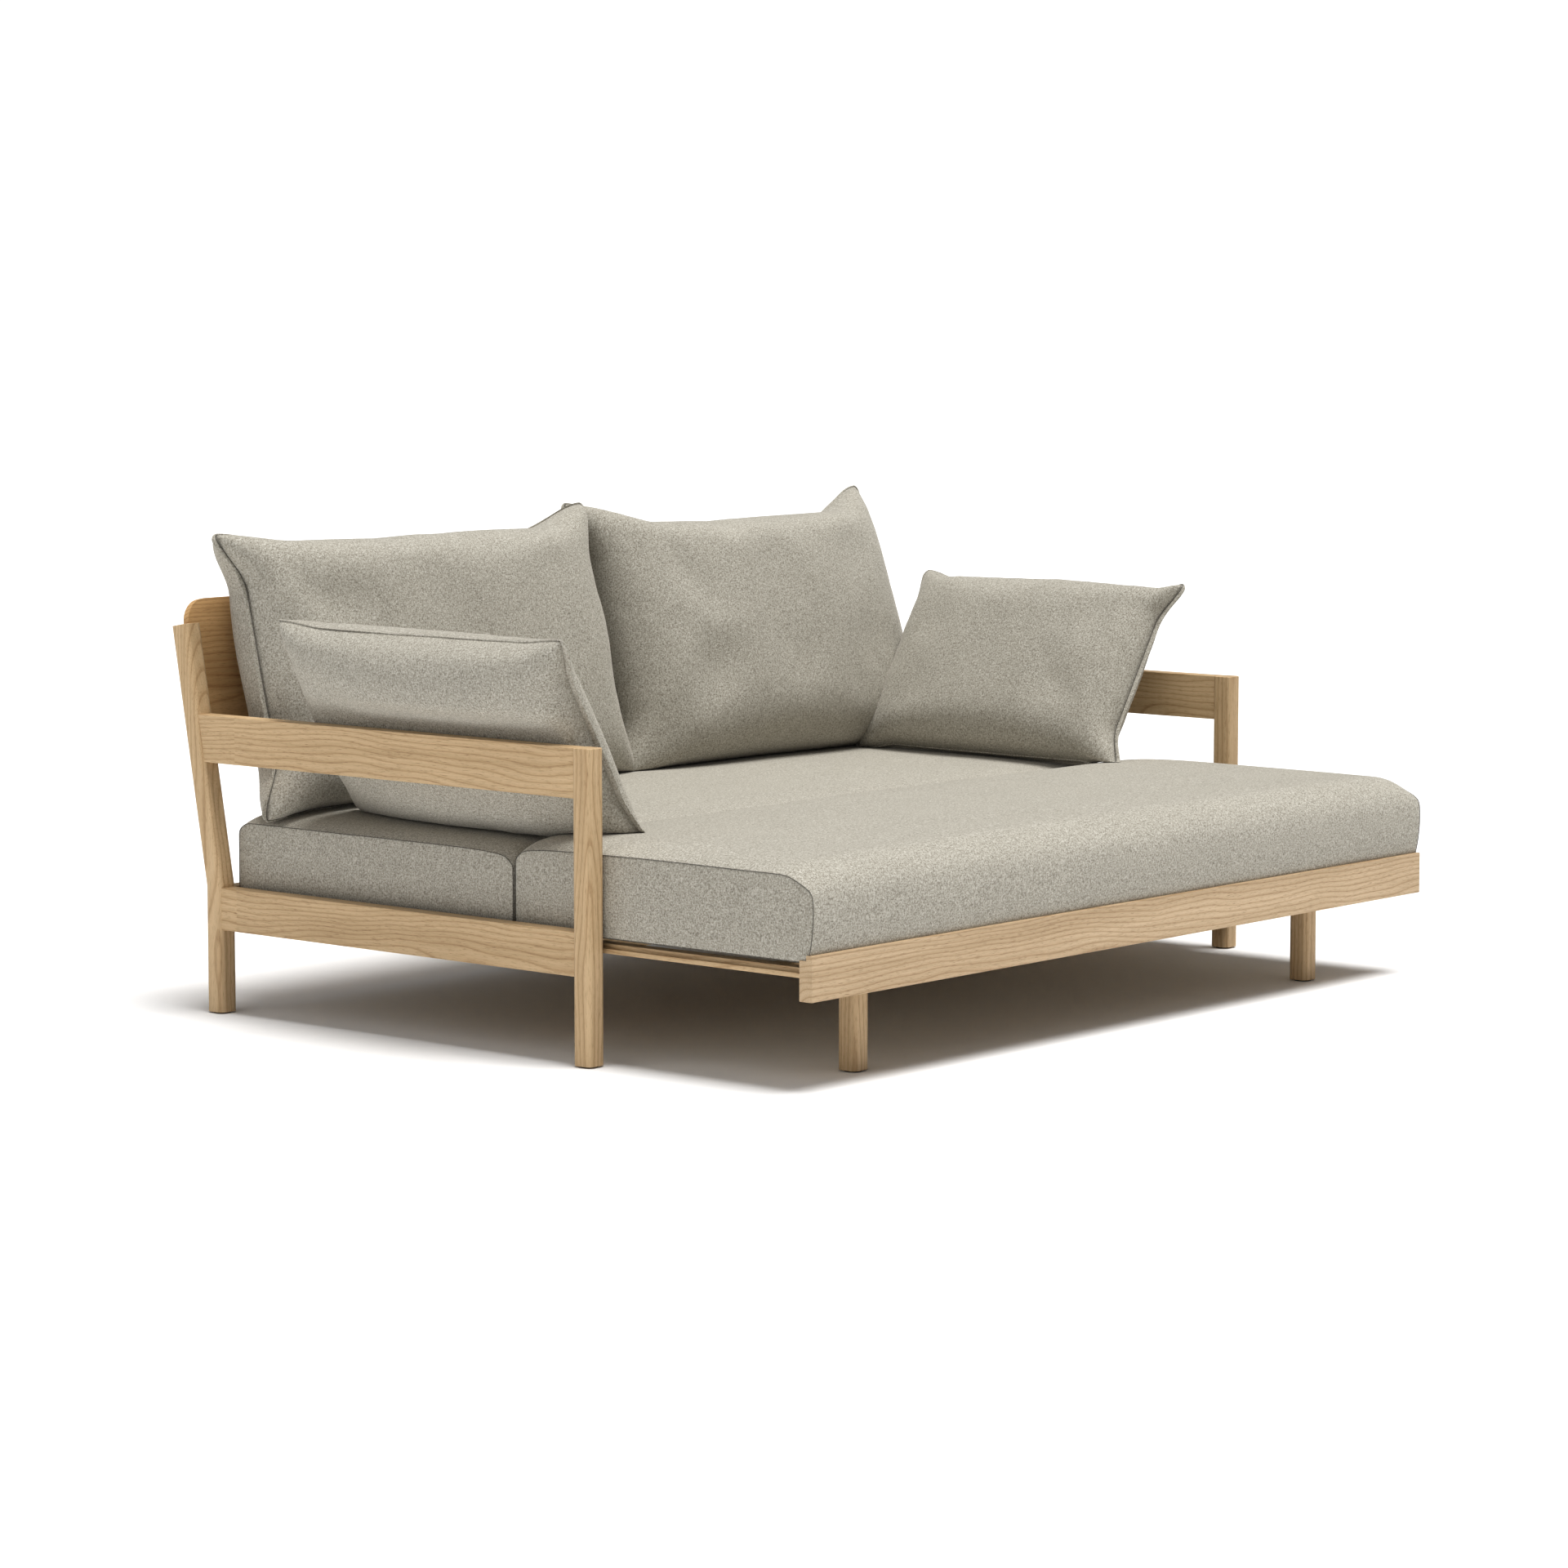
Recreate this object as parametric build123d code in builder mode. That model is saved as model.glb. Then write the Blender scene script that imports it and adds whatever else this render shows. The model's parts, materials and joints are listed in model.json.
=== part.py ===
from build123d import *
from math import cos, radians, sin, tan
import os

# A two-seat wooden daybed whose lower front slides out on its own legs to make a bed.
# The frame is two end frames joined by a rear rail, a housed backboard and a slat rail.
# X runs along the seat, -Y is the front, and the floor is at Z = 0.  The daybed is
# modelled pulled out.  All lengths are in millimetres.

os.makedirs("parts", exist_ok=True)

# ---- driving dimensions -------------------------------------------------------------
overall_length = 2100.0  # outer face of the left posts to outer face of the right posts
frame_depth = 1050.0  # front face of the front posts to back face of the rear legs
arm_height = 600.0  # top of the arm rails and the front posts
post_width = 45.0  # posts and legs are square with rounded corners
post_corner = 12.0
glide_height = 3.0
glide_radius = 17.0
glide_pin_radius = 1.5
glide_pin_length = 15.0
lean = 10.1  # backward lean of the rear posts and the backboard, in degrees
bend_height = 258.0  # the rear posts are upright below this height
post_rise = 527.0  # length of a leaning post above its bend, along the lean
pull_travel = 500.0  # how far the pull-out comes forward from flush with the posts

rail_thickness = 35.0
rail_inset = 5.0  # rails stand this far inside the posts' outer faces
side_rail_z = (170.0, 255.0)
arm_rail_z = (505.0, arm_height)
rear_block_y = 963.0  # where the short rear block meets the long part of a side rail
edge_softening = 1.5
joint_overlap = 5.0  # a rail runs this far past the post's face before it is scribed

board_thickness = 15.0
board_rise = (251.0, 578.0)  # bottom and top edge, along the lean from the bend
board_corner = 50.0
housing_depth = 8.0  # how deep the board's ends sit in the rear posts

slat_top = 240.0
fixed_slat_thickness = 15.0
sliding_slat_thickness = 13.0
slat_width = 95.0
slat_pitch = 250.0
fixed_slat_count = 8
sliding_slat_count = 7

front_rail_length = 2000.0
front_rail_thickness = 30.0
rebate_depth = 16.0
rebate_height = 10.0
leg_spacing = 1480.0  # between the centres of the pull-out's two legs
leg_setback = 119.0  # from the pull-out's front face to the centres of its legs

runner_x = (962.0, 990.0)  # inner and outer faces of a side runner's body
runner_z = (212.0, 230.0)
tongue_reach = 10.0
tongue_z = (213.0, 221.5)
runner_end = 480.0  # rear end of the runners, pulled out
runner_play = 2.0  # sideways gap between a runner and its guides
running_gap = 0.5  # gap between the pull-out's rear rail and the fixed slats above it
guide_gap = 0.3  # gap above and below a tongue in its guides
guide_z = (196.0, 236.0)  # bottom of the lower guides, top of the upper guides
guide_start = 50.0  # front ends of the guides
guide_end_gap = 3.0  # between the guides and the rear rail
slat_rail_setback = 170.0
slat_rail_low = 203.0  # height of the slat rail's ends, which pass under the runners
slat_rail_shoulder = 7.0  # gap between the slat rail's full height and the runners
cleat_height = 22.0
cleat_width = 20.0
cleat_end_gap = 12.0
leg_rail_full = 790.0  # beyond this, out from the middle, the leg rail is as low as the runners
stop_length = 30.0
stop_gap = 1.0

dowel_radius = 4.0
dowel_length = 40.0
screw_radius = 2.0
screw_head_radius = 4.0
screw_length = 30.0
leg_bolt_radius = 4.0
leg_bolt_length = 58.0
hole_clearance = 0.05  # between a fastener and the wall of its hole
hole_extra = 1.0  # holes are this much deeper than their fasteners
cut_margin = 5.0  # cutting tools reach this far past the faces they cut
cleat_screw_shift = 40.0  # the cleats' own screws stand beside the slats' screws
cleat_screw_drop = 13.0  # and this far below the cleats' tops
guide_screw_start = 90.0  # first guide screw, back from the front posts' faces
guide_screw_spacing = 170.0
guide_screw_count = 6
stop_screw_inset = 8.0

mattress_half_length = 1000.0
mattress_bottom = slat_top
front_mattress_side = 396.0  # top of the boxing at the sides
front_mattress_crown = 424.0  # highest line of the top
rear_mattress_side = 388.0
rear_mattress_crown = 412.0
mattress_gap = 5.0
mattress_junction = 240.0  # rear edge of the front mattress

back_cushion_height = 580.0
back_cushion_thickness = 196.0
back_cushion_split = 44.0  # the left back cushion reaches a little past the middle
arm_cushion_length = 720.0
arm_cushion_height = 425.0
arm_cushion_thickness = 150.0
arm_cushion_tilt = 28.0
arm_cushion_center_y = 480.0
arm_cushion_foot = (830.0, 426.0)  # how far out and how high its lower seam is
back_cushion_foot = 408.0
back_cushion_clearance = 2.0
cushion_edge = 8.0  # half the thickness of a cushion at its seam

# ---- derived positions --------------------------------------------------------------
lean_sin = sin(radians(lean))
lean_cos = cos(radians(lean))
half_length = overall_length / 2
half_post = post_width / 2
post_x = half_length - half_post
inner_x = half_length - post_width  # inner faces of the posts
rail_outer_x = half_length - rail_inset
rail_inner_x = rail_outer_x - rail_thickness
rail_x = (rail_inner_x + rail_outer_x) / 2

# The origin is under the middle of the bounding box of the pulled-out daybed.
rearmost = frame_depth - half_post + half_post * lean_cos + board_rise[1] * lean_sin
front = (pull_travel - rearmost) / 2  # front faces of the front posts
front_post_y = front + half_post
rear_post_y = front + frame_depth - half_post
rear_face = front + frame_depth - post_width  # front faces of the rear posts, upright part
pull_front = front - pull_travel
pull_back = pull_front + front_rail_thickness
block_y = front + rear_block_y
rear_rail_y = (front + frame_depth - rail_inset - rail_thickness, front + frame_depth - rail_inset)
fixed_slat_bottom = slat_top - fixed_slat_thickness
sliding_slat_bottom = slat_top - sliding_slat_thickness

slat_rail_y = (front + slat_rail_setback, front + slat_rail_setback + post_width)
slat_rail_z = (180.0, fixed_slat_bottom)
leg_y = pull_front + leg_setback
leg_rail_z = (195.0, sliding_slat_bottom)
slide_rail_y = (front + runner_end - post_width, front + runner_end)
slide_rail_z = (195.0, fixed_slat_bottom - running_gap)
stop_y = (slat_rail_y[1] + stop_gap, slat_rail_y[1] + stop_gap + stop_length)
stop_z = (194.0, runner_z[0])

along_x = (1, 0, 0)
along_y = (0, 1, 0)
sides = (("left", -1), ("right", 1))
fixed_slat_x = [(i - (fixed_slat_count - 1) / 2) * slat_pitch for i in range(fixed_slat_count)]
sliding_slat_x = [(i - (sliding_slat_count - 1) / 2) * slat_pitch for i in range(sliding_slat_count)]


def finish(piece, label):
    """Name a finished piece and write it to its own file."""
    piece.part.label = label
    export_step(piece.part, f"parts/{label}.step")


def span(low, high):
    return (min(low, high), max(low, high))


def bar(x, y, z, soft_axis=None):
    """A straight bar between three pairs of faces, its edges along one axis softened."""
    with BuildPart() as blank:
        with BuildSketch(Plane.XY.offset(z[0])):
            with Locations(((x[0] + x[1]) / 2, (y[0] + y[1]) / 2)):
                Rectangle(x[1] - x[0], y[1] - y[0])
        extrude(amount=z[1] - z[0])
        if soft_axis:
            fillet(blank.edges().filter_by(soft_axis), edge_softening)
    return blank.part


def upright(x, y, z):
    """A plain upright post or leg with rounded corners."""
    with BuildPart() as blank:
        with BuildSketch(Plane((x, y, z[0]))):
            RectangleRounded(post_width, post_width, post_corner)
        extrude(amount=z[1] - z[0])
    return blank.part


def leaning_post(x):
    """A rear post: upright to the bend, then leaning back, cut square across its top."""
    rise_end = (x, rear_post_y + post_rise * lean_sin, bend_height + post_rise * lean_cos)
    with BuildPart() as blank:
        with BuildLine():
            Polyline((x, rear_post_y, glide_height), (x, rear_post_y, bend_height), rise_end)
        with BuildSketch(Plane((x, rear_post_y, glide_height))):
            RectangleRounded(post_width, post_width, post_corner)
        sweep(transition=Transition.RIGHT)
    return blank.part


def lean_plane(offset):
    """A plane parallel to the backboard, this far in front of the rear posts' centreline."""
    origin = (0, rear_post_y - offset * lean_cos, bend_height + offset * lean_sin)
    return Plane(origin=origin, x_dir=(1, 0, 0), z_dir=(0, -lean_cos, lean_sin))


def post_face_y(z):
    """Where a rear post's front face is at a height."""
    if z <= bend_height:
        return rear_face
    return rear_post_y - half_post / lean_cos + (z - bend_height) * tan(radians(lean))


def bored(centre, direction, radius, reach):
    """The space that a round hole takes, reaching this far each way from its centre."""
    with BuildPart() as bore:
        with BuildSketch(Plane(origin=centre, z_dir=direction)):
            Circle(radius + hole_clearance)
        extrude(amount=reach, both=True)
    return bore.part


def dowel_bore(centre, direction):
    """The hole of one dowel, centred on the face that two pieces share."""
    return bored(centre, direction, dowel_radius, dowel_length / 2 + hole_extra)


def glide_bore(x, y):
    """The hole for the pin of a glide, up from the bottom of a leg."""
    reach = glide_pin_length + hole_extra
    return bored((x, y, glide_height), (0, 0, 1), glide_pin_radius, reach)


def screw_space(head, direction, clearance=0.0):
    """A countersunk screw, or the hole for it, down from the middle of its flat head."""
    shaft = screw_radius + clearance
    head_radius = screw_head_radius + clearance
    length = screw_length + clearance
    with BuildPart() as screw:
        with BuildSketch(Plane(origin=head, z_dir=direction)):
            Circle(head_radius)
        extrude(amount=head_radius - shaft, taper=45)
        with BuildSketch(Plane(origin=head, z_dir=direction)):
            Circle(shaft)
        extrude(amount=length)
    return screw.part


def cut_screws(heads, direction):
    """The holes of a row of screws, as one tool to cut with."""
    with BuildPart() as holes:
        for head in heads:
            add(screw_space(head, direction, hole_clearance))
    return holes.part


# ---- where the dowels and screws are ------------------------------------------------
arm_dowel_z = (530.0, 575.0)
side_dowel_z = (190.0, 235.0)
rear_dowel_z = (205.0, 220.0)


def end_frame_dowels(side):
    """Centres of the dowels of one end frame: each is on the face between two pieces."""
    x = side * rail_x
    points = []
    for z in arm_dowel_z + side_dowel_z:
        points.append((x, front + post_width, z))
        points.append((x, block_y, z))
        points.append((x, post_face_y(z), z))
    return points


def rear_rail_dowels(side):
    y = (rear_rail_y[0] + rear_rail_y[1]) / 2
    return [(side * inner_x, y, z) for z in rear_dowel_z]


def slat_rail_dowel(side):
    y = (slat_rail_y[0] + slat_rail_y[1]) / 2
    return (side * rail_inner_x, y, (slat_rail_z[0] + slat_rail_low) / 2)


down = (0, 0, -1)
fixed_screw_y = (
    (slat_rail_y[0] + slat_rail_y[1]) / 2,
    rear_rail_y[0] - cleat_width / 2,
)
sliding_screw_y = (
    pull_back + cleat_width / 2,
    leg_y,
    (slide_rail_y[0] + slide_rail_y[1]) / 2,
)
fixed_slat_heads = [(x, y, slat_top) for x in fixed_slat_x for y in fixed_screw_y]
sliding_slat_heads = [(x, y, slat_top) for x in sliding_slat_x for y in sliding_screw_y]

cleat_screw_x = [x + cleat_screw_shift for x in fixed_slat_x]
rear_cleat_screw = (rear_rail_y[0] - cleat_width, fixed_slat_bottom - cleat_screw_drop)
front_cleat_screw = (pull_back + cleat_width, sliding_slat_bottom - cleat_screw_drop)
rear_cleat_heads = [(x, *rear_cleat_screw) for x in cleat_screw_x]
front_cleat_heads = [(x, *front_cleat_screw) for x in cleat_screw_x]

guide_y = (front + guide_start, rear_rail_y[0] - guide_end_gap)
lower_guide_z = (guide_z[0], tongue_z[0] - guide_gap)
upper_guide_z = (tongue_z[1] + guide_gap, guide_z[1])
guide_levels = (("lower", lower_guide_z), ("upper", upper_guide_z))
guide_face = runner_x[1] + runner_play
guide_screw_y = [
    front + guide_screw_start + i * guide_screw_spacing for i in range(guide_screw_count)
]


def guide_heads(side, level):
    return [(side * guide_face, y, (level[0] + level[1]) / 2) for y in guide_screw_y]


def stop_heads(side):
    x = side * (runner_x[0] + runner_x[1]) / 2
    ends = (stop_y[0] + stop_screw_inset, stop_y[1] - stop_screw_inset)
    return [(x, y, stop_z[0]) for y in ends]


runner_dowel_x = (runner_x[0] + runner_x[1]) / 2
cross_dowel_z = (runner_z[0] + slide_rail_z[1]) / 2
cross_dowel_y = (leg_y, (slide_rail_y[0] + slide_rail_y[1]) / 2)


def runner_front_dowel(side):
    return (side * runner_dowel_x, pull_back, (runner_z[0] + runner_z[1]) / 2)


def cross_dowels(side):
    return [(side * runner_x[0], y, cross_dowel_z) for y in cross_dowel_y]


def leg_bolt_bore(side):
    centre = (side * leg_spacing / 2, leg_y, leg_rail_z[0])
    return bored(centre, (0, 0, 1), leg_bolt_radius, leg_bolt_length / 2 + hole_extra)


# ---- end frames ---------------------------------------------------------------------
for name, side in sides:
    outer = span(side * rail_inner_x, side * rail_outer_x)

    with BuildPart() as front_post:
        add(upright(side * post_x, front_post_y, (glide_height, arm_height)))
        fillet(front_post.faces().sort_by(Axis.Z)[-1].edges(), edge_softening)
        for x, y, z in end_frame_dowels(side):
            if y < front_post_y + post_width:
                add(dowel_bore((x, y, z), along_y), mode=Mode.SUBTRACT)
        add(glide_bore(side * post_x, front_post_y), mode=Mode.SUBTRACT)
    finish(front_post, f"front_post_{name}")

    with BuildPart() as rear_post:
        add(leaning_post(side * post_x))
        fillet(rear_post.faces().sort_by(Axis.Z)[-1].edges(), edge_softening)
        with BuildSketch(lean_plane(-half_post)):
            with Locations((side * inner_x, (board_rise[0] + board_rise[1]) / 2)):
                Rectangle(2 * housing_depth, board_rise[1] - board_rise[0])
        extrude(amount=board_thickness, mode=Mode.SUBTRACT)
        for x, y, z in end_frame_dowels(side):
            if y > block_y + 1:
                add(dowel_bore((x, y, z), along_y), mode=Mode.SUBTRACT)
        for x, y, z in rear_rail_dowels(side):
            add(dowel_bore((x, y, z), along_x), mode=Mode.SUBTRACT)
        add(glide_bore(side * post_x, rear_post_y), mode=Mode.SUBTRACT)
    finish(rear_post, f"rear_post_{name}")

    for rail_name, rail_z in (("side_rail", side_rail_z), ("arm_rail", arm_rail_z)):
        rail_start = front + post_width - joint_overlap
        with BuildPart() as rail:
            add(bar(outer, (rail_start, block_y), rail_z, Axis.Y))
            add(upright(side * post_x, front_post_y, (0, arm_height + cut_margin)), mode=Mode.SUBTRACT)
            for x, y, z in end_frame_dowels(side):
                if rail_z[0] < z < rail_z[1] and y < block_y + 1:
                    add(dowel_bore((x, y, z), along_y), mode=Mode.SUBTRACT)
            if rail_name == "side_rail":
                add(dowel_bore(slat_rail_dowel(side), along_x), mode=Mode.SUBTRACT)
                for guide_name, level in guide_levels:
                    holes = cut_screws(guide_heads(side, level), (side, 0, 0))
                    add(holes, mode=Mode.SUBTRACT)
        finish(rail, f"{rail_name}_{name}")

        with BuildPart() as rear_block:
            add(bar(outer, (block_y, post_face_y(rail_z[1]) + joint_overlap), rail_z, Axis.Y))
            add(leaning_post(side * post_x), mode=Mode.SUBTRACT)
            for x, y, z in end_frame_dowels(side):
                if rail_z[0] < z < rail_z[1] and y > block_y - 1:
                    add(dowel_bore((x, y, z), along_y), mode=Mode.SUBTRACT)
        finish(rear_block, f"{rail_name}_rear_block_{name}")

# ---- pieces that join the end frames ------------------------------------------------
with BuildPart() as rear_rail:
    rear_reach = inner_x + joint_overlap
    add(bar((-rear_reach, rear_reach), rear_rail_y, side_rail_z, Axis.X))
    for name, side in sides:
        add(leaning_post(side * post_x), mode=Mode.SUBTRACT)
        for x, y, z in rear_rail_dowels(side):
            add(dowel_bore((x, y, z), along_x), mode=Mode.SUBTRACT)
    add(cut_screws(rear_cleat_heads, along_y), mode=Mode.SUBTRACT)
finish(rear_rail, "rear_rail")

with BuildPart() as backboard:
    board_length = 2 * (inner_x + housing_depth)
    with BuildSketch(lean_plane(-half_post)) as board_face:
        with Locations((0, (board_rise[0] + board_rise[1]) / 2)):
            Rectangle(board_length, board_rise[1] - board_rise[0])
        fillet(board_face.vertices().group_by(Axis.Z)[-1], board_corner)
    extrude(amount=board_thickness)
finish(backboard, "backboard")

with BuildPart() as slat_rail:
    add(bar((-rail_inner_x, rail_inner_x), slat_rail_y, (slat_rail_z[0], slat_rail_low), Axis.X))
    inboard = runner_x[0] - slat_rail_shoulder
    add(bar((-inboard, inboard), slat_rail_y, (slat_rail_low, slat_rail_z[1])))
    for name, side in sides:
        add(dowel_bore(slat_rail_dowel(side), along_x), mode=Mode.SUBTRACT)
    add(cut_screws(fixed_slat_heads[0::2], down), mode=Mode.SUBTRACT)
finish(slat_rail, "slat_rail")

cleat_reach = runner_x[0] - cleat_end_gap
rear_cleat_y = (rear_rail_y[0] - cleat_width, rear_rail_y[0])
with BuildPart() as rear_cleat:
    cleat_z = (fixed_slat_bottom - cleat_height, fixed_slat_bottom)
    add(bar((-cleat_reach, cleat_reach), rear_cleat_y, cleat_z, Axis.X))
    add(cut_screws(fixed_slat_heads[1::2], down), mode=Mode.SUBTRACT)
    add(cut_screws(rear_cleat_heads, along_y), mode=Mode.SUBTRACT)
finish(rear_cleat, "rear_slat_cleat")

rail_notch = (slat_rail_y[0] - running_gap, slat_rail_y[1] + running_gap)
notch_z = (0, slat_rail_low + running_gap)
for name, side in sides:
    for guide_name, level in guide_levels:
        with BuildPart() as guide:
            add(bar(span(side * guide_face, side * rail_inner_x), guide_y, level, Axis.Y))
            if guide_name == "lower":
                notch_x = span(side * (guide_face - cut_margin), side * (rail_inner_x + cut_margin))
                add(bar(notch_x, rail_notch, notch_z), mode=Mode.SUBTRACT)
            add(cut_screws(guide_heads(side, level), (side, 0, 0)), mode=Mode.SUBTRACT)
        finish(guide, f"{guide_name}_guide_{name}")

# ---- the pull-out -------------------------------------------------------------------
with BuildPart() as front_rail:
    half_rail = front_rail_length / 2
    add(bar((-half_rail, half_rail), (pull_front, pull_back), side_rail_z, Axis.X))
    rebate_y = (pull_back - rebate_depth, pull_back + cut_margin)
    rebate_z = (side_rail_z[1] - rebate_height, side_rail_z[1] + cut_margin)
    add(bar((-half_length, half_length), rebate_y, rebate_z), mode=Mode.SUBTRACT)
    for name, side in sides:
        add(dowel_bore(runner_front_dowel(side), along_y), mode=Mode.SUBTRACT)
    add(cut_screws(front_cleat_heads, (0, -1, 0)), mode=Mode.SUBTRACT)
finish(front_rail, "pull_out_front_rail")

front_cleat_y = (pull_back, pull_back + cleat_width)
with BuildPart() as front_cleat:
    cleat_z = (sliding_slat_bottom - cleat_height, sliding_slat_bottom)
    add(bar((-cleat_reach, cleat_reach), front_cleat_y, cleat_z, Axis.X))
    add(cut_screws(sliding_slat_heads[0::3], down), mode=Mode.SUBTRACT)
    add(cut_screws(front_cleat_heads, (0, -1, 0)), mode=Mode.SUBTRACT)
finish(front_cleat, "pull_out_slat_cleat")

with BuildPart() as leg_rail:
    leg_rail_y = (leg_y - half_post, leg_y + half_post)
    add(bar((-runner_x[0], runner_x[0]), leg_rail_y, leg_rail_z, Axis.X))
    relief_y = (leg_rail_y[0] - cut_margin, leg_rail_y[1] + cut_margin)
    for name, side in sides:
        relief_x = span(side * leg_rail_full, side * (runner_x[0] + cut_margin))
        add(bar(relief_x, relief_y, (0, runner_z[0])), mode=Mode.SUBTRACT)
        add(dowel_bore(cross_dowels(side)[0], along_x), mode=Mode.SUBTRACT)
        add(leg_bolt_bore(side), mode=Mode.SUBTRACT)
    add(cut_screws(sliding_slat_heads[1::3], down), mode=Mode.SUBTRACT)
finish(leg_rail, "pull_out_leg_rail")

with BuildPart() as slide_rail:
    add(bar((-runner_x[0], runner_x[0]), slide_rail_y, slide_rail_z, Axis.X))
    for x in sliding_slat_x:
        land_x = (x - slat_width / 2, x + slat_width / 2)
        add(bar(land_x, slide_rail_y, (slide_rail_z[1], sliding_slat_bottom)))
    for name, side in sides:
        add(dowel_bore(cross_dowels(side)[1], along_x), mode=Mode.SUBTRACT)
    add(cut_screws(sliding_slat_heads[2::3], down), mode=Mode.SUBTRACT)
finish(slide_rail, "pull_out_rear_rail")

for name, side in sides:
    with BuildPart() as runner:
        runner_y = (pull_back, front + runner_end)
        add(bar(span(side * runner_x[0], side * runner_x[1]), runner_y, runner_z))
        tongue_x = span(side * runner_x[1], side * (runner_x[1] + tongue_reach))
        add(bar(tongue_x, runner_y, tongue_z))
        add(dowel_bore(runner_front_dowel(side), along_y), mode=Mode.SUBTRACT)
        for centre in cross_dowels(side):
            add(dowel_bore(centre, along_x), mode=Mode.SUBTRACT)
        add(cut_screws(stop_heads(side), (0, 0, 1)), mode=Mode.SUBTRACT)
    finish(runner, f"pull_out_runner_{name}")

    with BuildPart() as leg:
        add(upright(side * leg_spacing / 2, leg_y, (glide_height, leg_rail_z[0])))
        add(glide_bore(side * leg_spacing / 2, leg_y), mode=Mode.SUBTRACT)
        add(leg_bolt_bore(side), mode=Mode.SUBTRACT)
    finish(leg, f"pull_out_leg_{name}")

with BuildPart() as stops:
    for name, side in sides:
        add(bar(span(side * runner_x[0], side * runner_x[1]), stop_y, stop_z, Axis.Z))
        add(cut_screws(stop_heads(side), (0, 0, 1)), mode=Mode.SUBTRACT)
finish(stops, "pull_out_stops")

# ---- slats --------------------------------------------------------------------------
fixed_slat_y = (slat_rail_y[0], rear_rail_y[0])
sliding_slat_y = (pull_back, slide_rail_y[1])
slat_sets = (
    ("fixed_slat", fixed_slat_x, fixed_slat_y, fixed_slat_bottom, fixed_slat_heads),
    ("sliding_slat", sliding_slat_x, sliding_slat_y, sliding_slat_bottom, sliding_slat_heads),
)
for set_name, centres, slat_y, bottom, heads in slat_sets:
    for number, x in enumerate(centres, start=1):
        with BuildPart() as slat:
            slat_x = (x - slat_width / 2, x + slat_width / 2)
            add(bar(slat_x, slat_y, (bottom, slat_top), Axis.Y))
            own_heads = [head for head in heads if head[0] == x]
            add(cut_screws(own_heads, down), mode=Mode.SUBTRACT)
        finish(slat, f"{set_name}_{number}")

# ---- fasteners and glides -----------------------------------------------------------


def dowel(centre, direction):
    with BuildPart() as pin:
        with BuildSketch(Plane(origin=centre, z_dir=direction)):
            Circle(dowel_radius)
        extrude(amount=dowel_length / 2, both=True)
        chamfer(pin.edges().filter_by(GeomType.CIRCLE), 1.0)
    return pin.part


with BuildPart() as frame_dowels:
    for name, side in sides:
        for centre in end_frame_dowels(side):
            add(dowel(centre, along_y))
        for centre in rear_rail_dowels(side) + [slat_rail_dowel(side)]:
            add(dowel(centre, along_x))
finish(frame_dowels, "frame_dowels")

with BuildPart() as pull_out_dowels:
    for name, side in sides:
        add(dowel(runner_front_dowel(side), along_y))
        for centre in cross_dowels(side):
            add(dowel(centre, along_x))
finish(pull_out_dowels, "pull_out_dowels")

with BuildPart() as frame_screws:
    for head in fixed_slat_heads:
        add(screw_space(head, down))
    for head in rear_cleat_heads:
        add(screw_space(head, along_y))
    for name, side in sides:
        for guide_name, level in guide_levels:
            for head in guide_heads(side, level):
                add(screw_space(head, (side, 0, 0)))
finish(frame_screws, "frame_screws")

with BuildPart() as pull_out_screws:
    for head in sliding_slat_heads:
        add(screw_space(head, down))
    for head in front_cleat_heads:
        add(screw_space(head, (0, -1, 0)))
    for name, side in sides:
        for head in stop_heads(side):
            add(screw_space(head, (0, 0, 1)))
finish(pull_out_screws, "pull_out_screws")

with BuildPart() as leg_bolts:
    for name, side in sides:
        with BuildSketch(Plane((side * leg_spacing / 2, leg_y, leg_rail_z[0]))):
            Circle(leg_bolt_radius)
        extrude(amount=leg_bolt_length / 2, both=True)
finish(leg_bolts, "leg_bolts")

frame_feet = [(side * post_x, y) for name, side in sides for y in (front_post_y, rear_post_y)]
pull_out_feet = [(side * leg_spacing / 2, leg_y) for name, side in sides]
for set_name, feet in (("frame_glides", frame_feet), ("pull_out_glides", pull_out_feet)):
    with BuildPart() as glides:
        with BuildSketch():
            with Locations(*feet):
                Circle(glide_radius)
        extrude(amount=glide_height)
        with BuildSketch(Plane.XY.offset(glide_height)):
            with Locations(*feet):
                Circle(glide_pin_radius)
        extrude(amount=glide_pin_length)
    finish(glides, set_name)

# ---- mattresses ---------------------------------------------------------------------
corner_round = 15.0
under_chamfer = (44.0, 22.0)  # the front mattress lifts clear of the front rail's lip
rear_chamfer = (10.0, 10.0)
lip_gap = 1.0


def mattress(y, side_top, crown_top, front_chamfer):
    """A seat mattress: boxed sides and a top that crowns from its front to its back."""
    run, rise = front_chamfer
    middle = (y[0] + y[1]) / 2
    front_top = (y[0], side_top)
    back_top = (y[1], side_top)
    underside = [(y[0], mattress_bottom + rise), (y[0] + run, mattress_bottom), (y[1], mattress_bottom)]
    with BuildPart() as body:
        with BuildSketch(Plane.YZ.offset(-mattress_half_length)):
            with BuildLine():
                Polyline(front_top, *underside, back_top)
                ThreePointArc(back_top, (middle, crown_top), front_top)
            make_face()
        extrude(amount=2 * mattress_half_length)
        fillet(body.edges().filter_by(Axis.Z), corner_round)
    return body.part


front_mattress_y = (pull_back - rebate_depth + lip_gap, front + mattress_junction)
rear_mattress_y = (front_mattress_y[1] + mattress_gap, rear_rail_y[0] - mattress_gap)
with BuildPart() as front_mattress:
    add(mattress(front_mattress_y, front_mattress_side, front_mattress_crown, under_chamfer))
finish(front_mattress, "front_mattress")

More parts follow.
